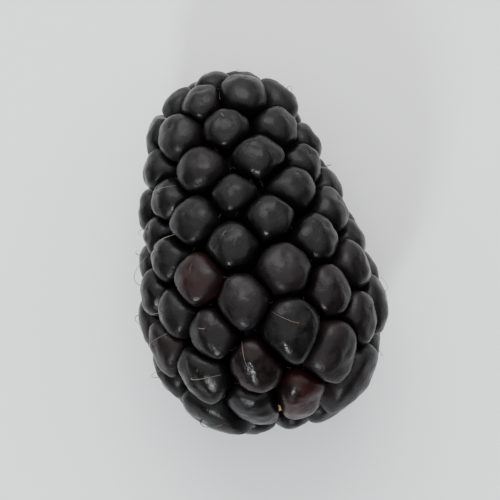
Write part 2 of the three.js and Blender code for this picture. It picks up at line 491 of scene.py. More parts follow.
def turned(name, outline, sides, relief):
    """A closed body turned round the axis, from pairs of radius and y, moved by a relief."""
    made = bmesh.new()
    rings = []
    for radius, y in outline:
        ring = []
        for i in range(sides if radius else 1):
            point = ring_point(radius, y, i / sides)
            ring.append(made.verts.new(lie.point(point + relief(point, i / sides))))
        rings.append(ring)
    for one, two in zip(rings, rings[1:]):
        for i in range(sides):
            corners = [one[i % len(one)], one[(i + 1) % len(one)]]
            corners += [two[(i + 1) % len(two)], two[i % len(two)]]
            made.faces.new(list(dict.fromkeys(corners)))
    bmesh.ops.recalc_face_normals(made, faces=made.faces)
    for face in made.faces:
        face.smooth = True
    mesh = bpy.data.meshes.new(name)
    made.to_mesh(mesh)
    made.free()
    piece = bpy.data.objects.new(name, mesh)
    bpy.context.scene.collection.objects.link(piece)
    return piece


def rounded(corners, steps):
    """An outline that runs smoothly through its corners, with steps between them."""
    ends = [corners[0], *corners, corners[-1]]
    outline = []
    for a, b, c, d in zip(ends, ends[1:], ends[2:], ends[3:]):
        for i in range(steps):
            t = i / steps
            point = []
            for p, q, r, s in zip(a, b, c, d):
                bend = (2 * p - 5 * q + 4 * r - s) * t**2 + (3 * q - p - 3 * r + s) * t**3
                point.append(q + ((r - p) * t + bend) / 2)
            outline.append((max(point[0], TINY), point[1]))
    outline[0] = corners[0]
    return [*outline, corners[-1]]


def fit(piece, slot, *nodes):
    """Puts a finished piece on the frame, in place of the nodes that it stands for."""
    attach(piece, "root")
    if nodes:
        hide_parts(*nodes)


def drupelet_tree():
    """Eggs on the seats, each held back smoothly wherever another presses on it."""
    tree, node, given, read = new_tree(
        "Pressed Drupelets",
        {
            "Spacing": "Float DISTANCE",
            "Gap": "Float DISTANCE",
            "Firmness": "Float",
            "Segments": "Int",
            "Rings": "Int",
            "Dent Height": "Float DISTANCE",
            "Dent Spread": "Float DISTANCE",
            "Scar Depth": "Float DISTANCE",
            "Scar Width": "Float DISTANCE",
            "Skin": "Material",
        },
        {
            "FLOAT": ("bulk", "room", "hold", "reach"),
            "FLOAT_VECTOR": (
                "middle", "way", "top", "sideways", "half_axes", "inward", "scar"
            ),
        },
    )
    seats, skins = seated_eggs(node, given, read)
    skins = pressed(tree, node, given, read, seats, skins)
    skins = dented(node, given, read, skins)
    skins = node("GeometryNodeSetShadeSmooth", {"Geometry": skins})
    skins = node("GeometryNodeRealizeInstances", {"Geometry": skins})
    skins = node("GeometryNodeSetMaterial", {"Geometry": skins, "Material": given["Skin"]})
    node("NodeGroupOutput", {"Geometry": skins}, out=None)
    return tree


def seated_eggs(node, given, read):
    """The seats with their places stored, and a ball turned and stretched on each.

    The ball's rings are crowded towards its top, which is the part that shows.
    """
    ball = node(
        "GeometryNodeMeshUVSphere",
        {"Segments": given["Segments"], "Rings": given["Rings"], "Radius": 1.0},
    )
    raised = node(
        "ShaderNodeVectorMath",
        {0: read["position"], 1: (0, 0, RING_CROWDING)},
        operation="ADD",
    )
    crowded = node("ShaderNodeVectorMath", {0: raised}, operation="NORMALIZE")
    ball = node("GeometryNodeSetPosition", {"Geometry": ball, "Position": crowded})
    seats = node(
        "GeometryNodeStoreNamedAttribute",
        {"Geometry": given["Geometry"], "Name": "middle", "Value": read["position"]},
        data_type="FLOAT_VECTOR",
    )
    turn = node(
        "FunctionNodeAxesToRotation",
        {"Primary Axis": read["top"], "Secondary Axis": read["sideways"]},
        primary_axis="Z",
        secondary_axis="X",
    )
    placed = node(
        "GeometryNodeInstanceOnPoints",
        {"Points": seats, "Instance": ball, "Rotation": turn, "Scale": read["half_axes"]},
    )
    return seats, node("GeometryNodeRealizeInstances", {"Geometry": placed})


def pressed(tree, node, given, read, seats, skins):
    """The eggs with the reach of each point, from its egg's middle, once it is pressed.

    A hold is one over a reach, counted in spacings and raised to the firmness. Holds add
    up, so the nearest one counts most. The first is the egg's own.
    """
    spacing, firmness = given["Spacing"], given["Firmness"]

    def hold(facing, scale, reach):
        """The hold of what is a reach off, on a point that faces it more or less."""
        share = node("ShaderNodeMath", {0: facing, 1: scale}, operation="MULTIPLY")
        share = node("ShaderNodeMath", {0: share, 1: reach}, operation="DIVIDE")
        share = node("ShaderNodeMath", {0: share, 1: 0.0}, operation="MAXIMUM")
        return node("ShaderNodeMath", {0: share, 1: firmness}, operation="POWER")

    offset = node(
        "ShaderNodeVectorMath", {0: read["position"], 1: read["middle"]}, operation="SUBTRACT"
    )
    way = node("ShaderNodeVectorMath", {0: offset}, operation="NORMALIZE")
    length = node("ShaderNodeVectorMath", {0: offset}, operation="LENGTH")
    own = node("ShaderNodeMath", {0: spacing, 1: length}, operation="DIVIDE")
    own = node("ShaderNodeMath", {0: own, 1: firmness}, operation="POWER")
    for label, value, kind in (("way", way, "FLOAT_VECTOR"), ("hold", own, "FLOAT")):
        skins = node(
            "GeometryNodeStoreNamedAttribute",
            {"Geometry": skins, "Name": label, "Value": value},
            data_type=kind,
        )

    # Each round adds the hold of one seat, if it is near. The flank lies halfway to that
    # seat, less half the gap, and farther off for the larger of the two. The egg's own seat
    # adds nothing, because a division by its distance, 0, gives 0.
    count = node("GeometryNodeAttributeDomainSize", {"Geometry": seats}, component="MESH")
    first = node("GeometryNodeRepeatInput", out=None)
    last = node("GeometryNodeRepeatOutput", out=None)
    first.pair_with_output(last)
    tree.links.new(count, first.inputs["Iterations"])
    tree.links.new(skins, first.inputs["Geometry"])
    other = {}
    for label, kind in (("position", "FLOAT_VECTOR"), ("bulk", "FLOAT")):
        other[label] = node(
            "GeometryNodeSampleIndex",
            {"Geometry": seats, "Value": read[label], "Index": first.outputs["Iteration"]},
            data_type=kind,
        )
    toward = node(
        "ShaderNodeVectorMath", {0: other["position"], 1: read["middle"]}, operation="SUBTRACT"
    )
    apart = node("ShaderNodeVectorMath", {0: toward}, operation="LENGTH")
    between = node("ShaderNodeMath", {0: apart, 1: given["Gap"]}, operation="SUBTRACT")
    larger = node("ShaderNodeMath", {0: read["bulk"], 1: other["bulk"]}, operation="SUBTRACT")
    flank = node("ShaderNodeMath", {0: apart, 1: between, 2: larger}, operation="MULTIPLY_ADD")
    facing = node("ShaderNodeVectorMath", {0: read["way"], 1: toward}, operation="DOT_PRODUCT")
    across = node("ShaderNodeMath", {0: spacing, 1: 2.0}, operation="MULTIPLY")
    near = node("ShaderNodeMath", {0: apart, 1: across}, operation="LESS_THAN")
    holds = node(
        "ShaderNodeMath",
        {0: hold(facing, across, flank), 1: near, 2: read["hold"]},
        operation="MULTIPLY_ADD",
    )
    held = node(
        "GeometryNodeStoreNamedAttribute",
        {"Geometry": first.outputs["Geometry"], "Name": "hold", "Value": holds},
        data_type="FLOAT",
    )
    tree.links.new(held, last.inputs["Geometry"])

    # The last hold is the receptacle's.
    facing = node(
        "ShaderNodeVectorMath", {0: read["way"], 1: read["inward"]}, operation="DOT_PRODUCT"
    )
    holds = node(
        "ShaderNodeMath",
        {0: hold(facing, spacing, read["room"]), 1: read["hold"]},
        operation="ADD",
    )
    root = node("ShaderNodeMath", {0: -1.0, 1: firmness}, operation="DIVIDE")
    reach = node("ShaderNodeMath", {0: holds, 1: root}, operation="POWER")
    reach = node("ShaderNodeMath", {0: reach, 1: spacing}, operation="MULTIPLY")
    return node(
        "GeometryNodeStoreNamedAttribute",
        {"Geometry": last.outputs["Geometry"], "Name": "reach", "Value": reach},
        data_type="FLOAT",
    )


def dented(node, given, read, skins):
    """The pressed eggs with shallow dents, and a pit where the style grew."""
    middle, way, reach = read["middle"], read["way"], read["reach"]
    skin = node("ShaderNodeVectorMath", {"Vector": way, "Scale": reach}, operation="SCALE")
    skin = node("ShaderNodeVectorMath", {0: skin, 1: middle}, operation="ADD")
    per_metre = node("ShaderNodeMath", {0: 1.0, 1: given["Dent Spread"]}, operation="DIVIDE")
    dent = node("ShaderNodeTexNoise", {"Vector": skin, "Scale": per_metre, "Detail": 1.5})
    dent = node("ShaderNodeMath", {0: dent, 1: 0.5}, operation="SUBTRACT")
    uneven = node(
        "ShaderNodeMath", {0: dent, 1: given["Dent Height"], 2: reach}, operation="MULTIPLY_ADD"
    )
    off_scar = node("ShaderNodeVectorMath", {0: way, 1: read["scar"]}, operation="DISTANCE")
    off_scar = node("ShaderNodeMath", {0: off_scar, 1: reach}, operation="MULTIPLY")
    off_scar = node("ShaderNodeMath", {0: off_scar, 1: given["Scar Width"]}, operation="DIVIDE")
    pit = node("ShaderNodeMath", {0: off_scar, 1: off_scar}, operation="MULTIPLY")
    pit = node("ShaderNodeMath", {0: pit, 1: -1.0}, operation="MULTIPLY")
    pit = node("ShaderNodeMath", {0: pit}, operation="EXPONENT")
    pit = node("ShaderNodeMath", {0: pit, 1: given["Scar Depth"]}, operation="MULTIPLY")
    uneven = node("ShaderNodeMath", {0: uneven, 1: pit}, operation="SUBTRACT")
    rise = node("ShaderNodeVectorMath", {0: way, 1: read["top"]}, operation="DOT_PRODUCT")
    for label, value in (("off_scar", off_scar), ("rise", rise)):
        skins = node(
            "GeometryNodeStoreNamedAttribute",
            {"Geometry": skins, "Name": label, "Value": value},
            data_type="FLOAT",
        )

    # What would reach under the surface that the berry lies on is pressed flat.
    under = (-1, -1, 0)
    skin = node("ShaderNodeVectorMath", {"Vector": way, "Scale": uneven}, operation="SCALE")
    skin = node("ShaderNodeVectorMath", {0: skin, 1: middle}, operation="ADD")
    skin = node("ShaderNodeVectorMath", {0: skin, 1: under}, operation="MAXIMUM")
    return node("GeometryNodeSetPosition", {"Geometry": skins, "Position": skin})


def thread_tree():
    """Fine threads, each on a point that says which way it grows, how long and how thick."""
    tree, node, given, read = new_tree(
        "Fine Threads",
        {
            "Steps": "Int",
            "Sides": "Int",
            "Tip Share": "Float",
            "Curl": "Float",
            "Finish": "Material",
        },
        {
            "FLOAT": ("length", "thickness", "droop", "waves"),
            "FLOAT_VECTOR": ("root", "outward", "lean", "aside"),
        },
    )
    roots = node(
        "GeometryNodeStoreNamedAttribute",
        {"Geometry": given["Geometry"], "Name": "root", "Value": read["position"]},
        data_type="FLOAT_VECTOR",
    )
    line = node("GeometryNodeCurvePrimitiveLine", {"End": (0, 0, MM)})
    line = node("GeometryNodeResampleCurve", {"Curve": line, "Count": given["Steps"]})
    placed = node("GeometryNodeInstanceOnPoints", {"Points": roots, "Instance": line})
    threads = node("GeometryNodeRealizeInstances", {"Geometry": placed})

    # A thread rises and droops again, leans over on its way, and waves to its sides.
    along = node("GeometryNodeSplineParameter", out="Factor")
    square = node("ShaderNodeMath", {0: along, 1: along}, operation="MULTIPLY")
    droop = node("ShaderNodeMath", {0: square, 1: read["droop"]}, operation="MULTIPLY")
    rise = node("ShaderNodeMath", {0: along, 1: droop}, operation="SUBTRACT")
    over = node("ShaderNodeMath", {0: along, 1: LEAN_POWER}, operation="POWER")
    wave = node("ShaderNodeMath", {0: along, 1: read["waves"]}, operation="MULTIPLY")
    wave = node("ShaderNodeMath", {0: wave}, operation="SINE")
    wave = node("ShaderNodeMath", {0: wave, 1: given["Curl"]}, operation="MULTIPLY")
    bent = (0, 0, 0)
    for label, share in (("outward", rise), ("lean", over), ("aside", wave)):
        part = node(
            "ShaderNodeVectorMath", {"Vector": read[label], "Scale": share}, operation="SCALE"
        )
        bent = node("ShaderNodeVectorMath", {0: part, 1: bent}, operation="ADD")
    bent = node(
        "ShaderNodeVectorMath", {"Vector": bent, "Scale": read["length"]}, operation="SCALE"
    )
    bent = node("ShaderNodeVectorMath", {0: bent, 1: read["root"]}, operation="ADD")
    threads = node("GeometryNodeSetPosition", {"Geometry": threads, "Position": bent})

    # It thins towards its end.
    ring = node(
        "GeometryNodeCurvePrimitiveCircle", {"Resolution": given["Sides"], "Radius": 1.0}
    )
    taper = node(
        "ShaderNodeMapRange", {"Value": along, "To Min": 1.0, "To Max": given["Tip Share"]}
    )
    half = node("ShaderNodeMath", {0: taper, 1: read["thickness"]}, operation="MULTIPLY")
    threads = node(
        "GeometryNodeCurveToMesh",
        {"Curve": threads, "Profile Curve": ring, "Scale": half, "Fill Caps": True},
    )
    threads = node("GeometryNodeSetShadeSmooth", {"Geometry": threads})
    threads = node("GeometryNodeRealizeInstances", {"Geometry": threads})
    threads = node(
        "GeometryNodeSetMaterial", {"Geometry": threads, "Material": given["Finish"]}
    )
    node("NodeGroupOutput", {"Geometry": threads}, out=None)
    return tree


# Finishes


def new_material(name, surface, *look):
    """A material named for its finish, whose surface is made by a function from a look."""
    material = bpy.data.materials.new(name)
    material.use_nodes = True
    material.node_tree.nodes.clear()
    node = partial(add, material.node_tree)
    place = node("ShaderNodeTexCoord", out="Object")
    node("ShaderNodeOutputMaterial", {"Surface": surface(node, place, *look)}, out=None)
    return material


def ripe_skin(node, place, look):
    """Ripe drupelet skin: a taut, waxy cuticle over dark juice.

    It gives a soft grey sheen where it faces the light, and black everywhere else. Wax in
    patches breaks up the edge of the sheen, and late drupelets show a dull red through it.
    """
    shares = {}
    for label in ("tone", "flush", "rise", "off_scar"):
        shares[label] = node("ShaderNodeAttribute", out="Fac", attribute_name=label)

    # Juice is black to plum, and red in patches where a drupelet ripened late.
    colour = node(
        "ShaderNodeMix",
        {"Factor": shares["tone"], "A": opaque(look.black), "B": opaque(look.plum)},
        data_type="RGBA",
    )
    ripening = node("ShaderNodeTexNoise", {"Vector": place, "Scale": 1 / (2.6 * MM)})
    patches = node(
        "ShaderNodeMapRange",
        {"Value": ripening, "From Min": 0.38, "From Max": 0.62, "To Min": 0.25, "To Max": 1.2},
    )
    redness = node(
        "ShaderNodeMath",
        {0: shares["flush"], 1: patches},
        operation="MULTIPLY",
        use_clamp=True,
    )

    # The style leaves a dry brown scar, a third of a millimetre across.
    scar = node(
        "ShaderNodeMapRange",
        {
            "Value": shares["off_scar"],
            "From Min": 0.35,
            "From Max": 0.75,
            "To Min": 0.7,
            "To Max": 0,
        },
        interpolation_type="SMOOTHSTEP",
    )
    for share, shade in ((redness, look.red), (scar, look.scar)):
        colour = node(
            "ShaderNodeMix",
            {"Factor": share, "A": colour, "B": opaque(shade)},
            data_type="RGBA",
        )

    # Wax lies in patches over a millimetre wide, thicker on some drupelets than on
    # others. The flanks are duller than the top, and the scar is duller still.
    waxy_drupelet, dry_scar = 0.07, 0.4
    wax = node(
        "ShaderNodeTexNoise", {"Vector": place, "Scale": 1 / (1.3 * MM), "Detail": 4.0}
    )
    rough = node(
        "ShaderNodeMapRange",
        {"Value": wax, "From Min": 0.35, "From Max": 0.65, "To Min": 0.25, "To Max": 0.41},
    )
    rough = node(
        "ShaderNodeMath",
        {0: shares["tone"], 1: waxy_drupelet, 2: rough},
        operation="MULTIPLY_ADD",
    )
    flank = node(
        "ShaderNodeMapRange",
        {"Value": shares["rise"], "From Min": 0.2, "From Max": 0.8, "To Min": 0.1, "To Max": 0},
    )
    rough = node("ShaderNodeMath", {0: rough, 1: flank}, operation="ADD")
    rough = node(
        "ShaderNodeMath", {0: scar, 1: dry_scar, 2: rough}, operation="MULTIPLY_ADD"
    )

    # Creases are half a millimetre apart. The cells of the cuticle, 0.03 mm wide, are too
    # fine to show and are drawn 0.2 mm wide.
    creases = node(
        "ShaderNodeTexNoise",
        {"Vector": place, "Scale": 1 / (0.5 * MM), "Detail": 2.0, "Distortion": 0.6},
    )
    cells = node("ShaderNodeTexNoise", {"Vector": place, "Scale": 1 / (0.2 * MM)})
    bump = node(
        "ShaderNodeBump", {"Height": creases, "Strength": 0.5, "Distance": 0.08 * MM}
    )
    bump = node(
        "ShaderNodeBump",
        {"Height": cells, "Strength": 0.35, "Distance": 0.03 * MM, "Normal": bump},
    )
    return node(
        "ShaderNodeBsdfPrincipled",
        {
            "Base Color": colour,
            "Roughness": rough,
            "IOR": 1.36,
            "Specular IOR Level": 0.36,
            "Normal": bump,
        },
    )


def moist_flesh(node, place, look):
    """Moist berry flesh: dark, dull and mottled, so the grooves stay black; its near-black
    colour is partly the juice's own and partly painted shade.
    """
    pulp = node(
        "ShaderNodeTexNoise", {"Vector": place, "Scale": 1 / (0.5 * MM), "Detail": 4.0}
    )
    # Both colours are near black: partly the juice's own colour, partly painted shade for the
    # deep grooves between the drupelets.
    colour = node(
        "ShaderNodeMix",
        {"Factor": pulp, "A": opaque(look.deep), "B": opaque(look.shallow)},
        data_type="RGBA",
    )
    bump = node("ShaderNodeBump", {"Height": pulp, "Strength": 0.5, "Distance": 0.1 * MM})
    return node(
        "ShaderNodeBsdfPrincipled",
        {
            "Base Color": colour,
            "Roughness": 0.7,
            "IOR": 1.36,
            "Specular IOR Level": 0.2,
            "Normal": bump,
        },
    )


def torn_pith(node, place, look):
    """Torn pith: dry, spongy and dull, ochre at its middle and cream at its rim.

    Juice stains the edge of the rim and the side, and the same dark red is painted shade where
    they show in the grooves between the drupelets.
    """
    ring = node("ShaderNodeAttribute", out="Fac", attribute_name="ring")
    strand = node(
        "ShaderNodeTexNoise", {"Vector": place, "Scale": 1 / (0.3 * MM), "Detail": 4.0}
    )

    # Each colour gives way to the next over a stretch of the radius, raggedly, because the
    # strands, 0.3 mm thick, were torn at different lengths.
    raggedness = 0.4
    ragged = node(
        "ShaderNodeMath", {0: strand, 1: raggedness, 2: ring}, operation="MULTIPLY_ADD"
    )
    colour = opaque(look.middle)
    # The last colour is juice-stained pith, which is also painted shade on the rim's edge and
    # the side.
    rings = (look.pith, 0.3, 0.7), (look.rim, 0.75, 1.05), (look.stain_and_shade, 1.04, 1.14)
    for shade, near, far in rings:
        share = node(
            "ShaderNodeMapRange",
            {"Value": ragged, "From Min": near, "From Max": far},
            interpolation_type="SMOOTHSTEP",
        )
        colour = node(
            "ShaderNodeMix",
            {"Factor": share, "A": colour, "B": opaque(shade)},
            data_type="RGBA",
        )
    bump = node(
        "ShaderNodeBump", {"Height": strand, "Strength": 0.6, "Distance": 0.08 * MM}
    )
    return node(
        "ShaderNodeBsdfPrincipled",
        {
            "Base Color": colour,
            "Roughness": 0.8,
            "Subsurface Weight": 0.1,
            "Subsurface Radius": (1.0, 0.7, 0.3),
            "Subsurface Scale": 0.4 * MM,
            "Normal": bump,
        },
    )


def dry_thread(node, place, light, dark):
    """Dried plant thread: dull, and browner in stretches about a millimetre long."""
    stretch = node("ShaderNodeTexNoise", {"Vector": place, "Scale": 1 / (1.2 * MM)})
    share = node("ShaderNodeMapRange", {"Value": stretch, "From Min": 0.35, "From Max": 0.65})
    colour = node(
        "ShaderNodeMix",
        {"Factor": share, "A": opaque(light), "B": opaque(dark)},
        data_type="RGBA",
    )
    return node("ShaderNodeBsdfPrincipled", {"Base Color": colour, "Roughness": 0.65})


def matt_laminate(node, place, look):
    """Matt laminate: pale and even, with a fine tooth that keeps reflections soft."""
    tooth = node("ShaderNodeTexNoise", {"Vector": place, "Scale": 1 / (0.6 * MM)})
    rough = node("ShaderNodeMapRange", {"Value": tooth, "To Min": 0.6, "To Max": 0.8})
    return node(
        "ShaderNodeBsdfPrincipled", {"Base Color": opaque(look.floor), "Roughness": rough}
    )


# Settings


def colour_property(name, description, code):
    """A colour setting, from an sRGB hex code."""
    return FloatVectorProperty(
        name=name, description=description, subtype="COLOR", min=0, max=1, default=linear(code)
    )


def length_property(name, description, millimetres):
    """A length setting, from millimetres."""
    return FloatProperty(
        name=name,
        description=description,
        subtype="DISTANCE",
        unit="LENGTH",
        min=0,
        precision=6,
        default=millimetres * MM,
    )


def power_property(name, description, watts):
    """A light's power setting, in watts."""
    return FloatProperty(
        name=name, description=description, subtype="POWER", unit="POWER", min=0, default=watts
    )


class SkinLook(bpy.types.PropertyGroup):
    """Sizes and colours of the drupelets."""

    black: colour_property("Black", "Skin of the ripest drupelets", "#060506")
    plum: colour_property("Plum", "Skin of drupelets that aren't quite as ripe", "#100e10")
    red: colour_property("Red", "Skin of drupelets that ripened late", "#2c0d0c")
    scar: colour_property("Scar", "Scar that a style leaves", "#2b2420")
    gap: length_property("Gap", "Room left between two drupelets", 0.1)
    firmness: FloatProperty(
        name="Firmness",
        description="A higher number gives flatter flanks and sharper edges",
        min=3,
        max=14,
        default=6.5,
    )
    segments: IntProperty(
        name="Segments", description="Segments round a drupelet", min=8, max=40, default=36
    )
    rings: IntProperty(
        name="Rings", description="Rings on a drupelet", min=6, max=30, default=26
    )
    lean: FloatProperty(
        name="Lean",
        description="How far a drupelet's top leans towards the berry's tip",
        subtype="ANGLE",
        default=math.radians(5),
    )
    dent_height: length_property("Dent Height", "How uneven the skins are", 0.52)
    dent_spread: length_property("Dent Spread", "How far apart the dents are", 1.6)
    scar_depth: length_property("Scar Depth", "Depth of the pit that a style leaves", 0.07)
    scar_width: length_property("Scar Width", "Half-width of that pit", 0.3)


class FleshLook(bpy.types.PropertyGroup):
    """Sizes and colours of the flesh between the drupelets."""

    # Near black: partly the flesh's dark juice, partly painted shade for the deep grooves.
    deep: colour_property("Deep", "Darker colour of the flesh", "#040203")
    shallow: colour_property("Shallow", "Lighter colour of the flesh", "#0c0405")
    depth: length_property("Depth", "How far the flesh lies under the seats", 1.5)


class PithLook(bpy.types.PropertyGroup):
    """Colours of the receptacle's face."""

    middle: colour_property("Middle", "Middle of the face", "#6b5629")
    pith: colour_property("Pith", "Most of the face", "#85794a")
    rim: colour_property("Rim", "Torn rim of the face", "#9c9268")
    # Partly juice on the pith, partly painted shade where the side shows between the drupelets.
    stain_and_shade: colour_property("Stain", "Juice on the rim's edge and the side", "#1c090b")


class ThreadLook(bpy.types.PropertyGroup):
    """Numbers, sizes and colours of the dried styles and the fine hairs."""

    styles: IntProperty(
        name="Styles", description="Whole dried styles that are left", min=0, default=18
    )
    style_length: length_property("Style Length", "Length of a whole style", 2.3)
    style_thickness: length_property("Style Thickness", "Half-thickness at its root", 0.04)
    style_colour: colour_property("Style Colour", "Dried styles", "#6f6556")
    style_shade: colour_property("Style Shade", "Browner stretches of the styles", "#3b332b")
    hairs: IntProperty(
        name="Hairs", description="Fine hairs between the drupelets", min=0, default=240
    )
    hair_length: length_property("Hair Length", "Length of a hair", 0.6)
    hair_thickness: length_property("Hair Thickness", "Half-thickness at its root", 0.013)
    hair_colour: colour_property("Hair Colour", "Fine hairs", "#8d8778")
    hair_shade: colour_property("Hair Shade", "Browner stretches of the hairs", "#635b4d")


class StageLook(bpy.types.PropertyGroup):
    """The floor's colour, the lights' powers, and where the camera stands."""

    floor: colour_property("Floor", "Floor", "#e8eaec")
    overhead: power_property("Overhead", "Broad light above the berry", 21)
    lamp: power_property("Lamp", "Smaller light that grades the sheen", 4)
    window: power_property("Window", "Low light behind the stem end", 1.2)
    height: length_property("Height", "Height of the camera", 460)
    lens: FloatProperty(
        name="Lens",
        description="Focal length of the camera",
        subtype="DISTANCE_CAMERA",
        unit="CAMERA",
        default=390,
    )
    roll: FloatProperty(
        name="Roll",
        description="How far the camera is turned about the vertical",
        subtype="ANGLE",
        default=math.radians(-12),
    )


class BerrySettings(bpy.types.PropertyGroup):
    """Everything that a user would change."""

    skin: PointerProperty(type=SkinLook)
    flesh: PointerProperty(type=FleshLook)
    pith: PointerProperty(type=PithLook)
    threads: PointerProperty(type=ThreadLook)
    stage: PointerProperty(type=StageLook)


# Pieces


def scar_way(i):
    """The way from a drupelet's middle to its scar, which lies tipward of its top."""
    place = eggs[i].place
    chance = random.Random(i)
    way = place.outward + place.tipward * chance.uniform(*SCAR_TIPWARD)
    return (way + place.sideways * chance.uniform(-SCAR_ASIDE, SCAR_ASIDE)).normalized()


def relief_at(point, layers):
    """The height of a rough surface at a point, in mm, from layers of noise."""
    return sum(height * noise.noise(point * fineness) for height, fineness in layers)


class BERRY_OT_drupelets(bpy.types.Operator):
    """Makes the drupelets that cover the berry"""

    bl_idname = "berry.drupelets"
    bl_label = "Drupelets"

    def execute(self, context):
        look = context.scene.bramble_berry.skin
        chance = random.Random(SKIN_SEED)
        seats = []
        for i, egg in enumerate(eggs):
            place = egg.place
            top = place.outward * math.cos(look.lean) + place.tipward * math.sin(look.lean)
            inward = Vector((-egg.middle.x, 0, -egg.middle.z))
            room = inward.length - RECEPTACLE_RADIUS - CLEARANCE - look.gap / MM
            flush = FAINT_FLUSH + STEM_FLUSH * egg.stemward * chance.random() ** 2
            seats.append(
                {
                    "top": lie.way(top),
                    "sideways": lie.way(place.sideways),
                    "half_axes": egg.half_axes * MM,
                    "bulk": (egg.size * profile.spacing * MM / 2) ** 2,
                    "inward": lie.way(inward.normalized()),
                    "room": room * MM if egg.middle.y < 0 else 1,
                    "scar": lie.way(scar_way(i)),
                    "tone": chance.random(),
                    "flush": LATE_DRUPELETS.get(i, flush),
                }
            )
        columns = {label: [seat[label] for seat in seats] for label in seats[0]}
        mesh = mesh_of_points("seats", [lie.point(egg.middle) for egg in eggs], columns)
        values = {
            "Spacing": profile.spacing * MM,
            "Gap": look.gap,
            "Firmness": look.firmness,
            "Segments": look.segments,
            "Rings": look.rings,
            "Dent Height": look.dent_height,
            "Dent Spread": look.dent_spread,
            "Scar Depth": look.scar_depth,
            "Scar Width": look.scar_width,
            "Skin": new_material("Ripe drupelet skin", ripe_skin, look),
        }
        keep = ("tone", "flush", "rise", "off_scar")
        piece = grown("drupelet_skins", mesh, drupelet_tree(), values, keep)
        fit(piece, "drupelet_skin", "drupelets")
        return {"FINISHED"}


class BERRY_OT_flesh(bpy.types.Operator):
    """Makes the flesh that the drupelets grow from"""

    bl_idname = "berry.flesh"
    bl_label = "Flesh"

    def execute(self, context):
        look = context.scene.bramble_berry.flesh
        depth = look.depth / MM
        wall = RECEPTACLE_RADIUS + FLESH_CLEARANCE
        floor = RECEPTACLE_FACE + RECEPTACLE_DEPTH + FLESH_FLOOR
        shell = []
        for i in range(FLESH_STEPS):
            angle = math.pi * (i / FLESH_STEPS - 0.5)
            y = (STEM_REACH if angle < 0 else TIP_REACH) * math.sin(angle)
            radius = seat_radius(y) * (1 - depth / GIRTH_RADIUS)
            if y > 0 or radius > wall + FLESH_LIP:
                shell.append((radius, y - depth * math.sin(angle)))

        def relief(point, turn):
            """The shell is rough, apart from its very tip, and the socket is plain."""
            off_axis = math.hypot(point.x, point.z)
            height = relief_at(point, FLESH_RELIEF) if off_axis > wall + TINY else 0
            return ring_point(height, 0, turn)

        socket = [(0, floor), (wall, floor), (wall, shell[0][1])]
        outline = [*socket, *shell, (0, TIP_REACH - depth)]
        piece = turned("flesh", outline, FLESH_SIDES, relief)
        piece.data.materials.append(new_material("Moist berry flesh", moist_flesh, look))
        fit(piece, "drupelet_skin", "drupelets")
        return {"FINISHED"}


class BERRY_OT_receptacle(bpy.types.Operator):
    """Makes the receptacle, torn where the stalk was"""

    bl_idname = "berry.receptacle"
    bl_label = "Receptacle"

    def execute(self, context):
        look = context.scene.bramble_berry.pith

        def relief(point, turn):
            """The face is torn and the rim frayed, and the side has shallow lobes."""
            angle = 2 * math.pi * turn
            share = math.hypot(point.x, point.z) / RECEPTACLE_RADIUS
            face = (RECEPTACLE_FACE + TORN_DEPTH - point.y) / TORN_FADE
            face = min(max(face, 0), 1)
            crowding = STRAND_CROWDING * math.sin(STRAND_CROWDS * angle)
            strands = math.sin(STRANDS * angle + crowding)
            torn = relief_at(point, TORN_RELIEF) + STRAND_HEIGHT * share * strands
            lobes = sum(high * math.sin(many * angle + start) for high, many, start in LOBES)
            return ring_point(lobes * share, torn * face, turn)

        outline = rounded(receptacle_outline(), RIM_STEPS)
        piece = turned("receptacle_end", outline, RIM_SIDES, relief)
        ring = piece.data.attributes.new("ring", "FLOAT", "POINT")
        middle, along = lie.point((0, 0, 0)), lie.way((0, 1, 0))
        for vertex, share in zip(piece.data.vertices, ring.data):
            off = vertex.co - middle
            off -= along * off.dot(along)
            share.value = off.length / (RECEPTACLE_RADIUS * MM)
        piece.data.materials.append(new_material("Torn pith", torn_pith, look))
        fit(piece, "receptacle_pith", "receptacle")
        return {"FINISHED"}


def thread_on(place, root, chance, length, thickness, droop):
    """A thread that grows from a root in some direction, as a row of values."""
    angle = chance.uniform(0, 2 * math.pi)
    lean = place.tipward * math.cos(angle) + place.sideways * math.sin(angle)
    return {
        "root": lie.point(root),
        "outward": lie.way(place.outward),
        "lean": lie.way(lean),
        "aside": lie.way(place.outward.cross(lean)),
        "length": length * chance.uniform(0.6, 1.2),
        "thickness": thickness * chance.uniform(0.7, 1.1),
        "droop": droop * chance.uniform(0.85, 1.15),
        "waves": chance.uniform(0.8, 2.2),
    }


def grow_threads(name, threads, values):
    """Grows threads from their rows of values, apart from those that would be lain on."""
    clear = [thread for thread in threads if thread["root"].z > LEAST_HEIGHT * MM]
    roots = [thread.pop("root") for thread in clear]
    columns = {label: [thread[label] for thread in clear] for label in clear[0]}
    piece = grown(name, mesh_of_points(name, roots, columns), thread_tree(), values)
    fit(piece, "receptacle_pith")


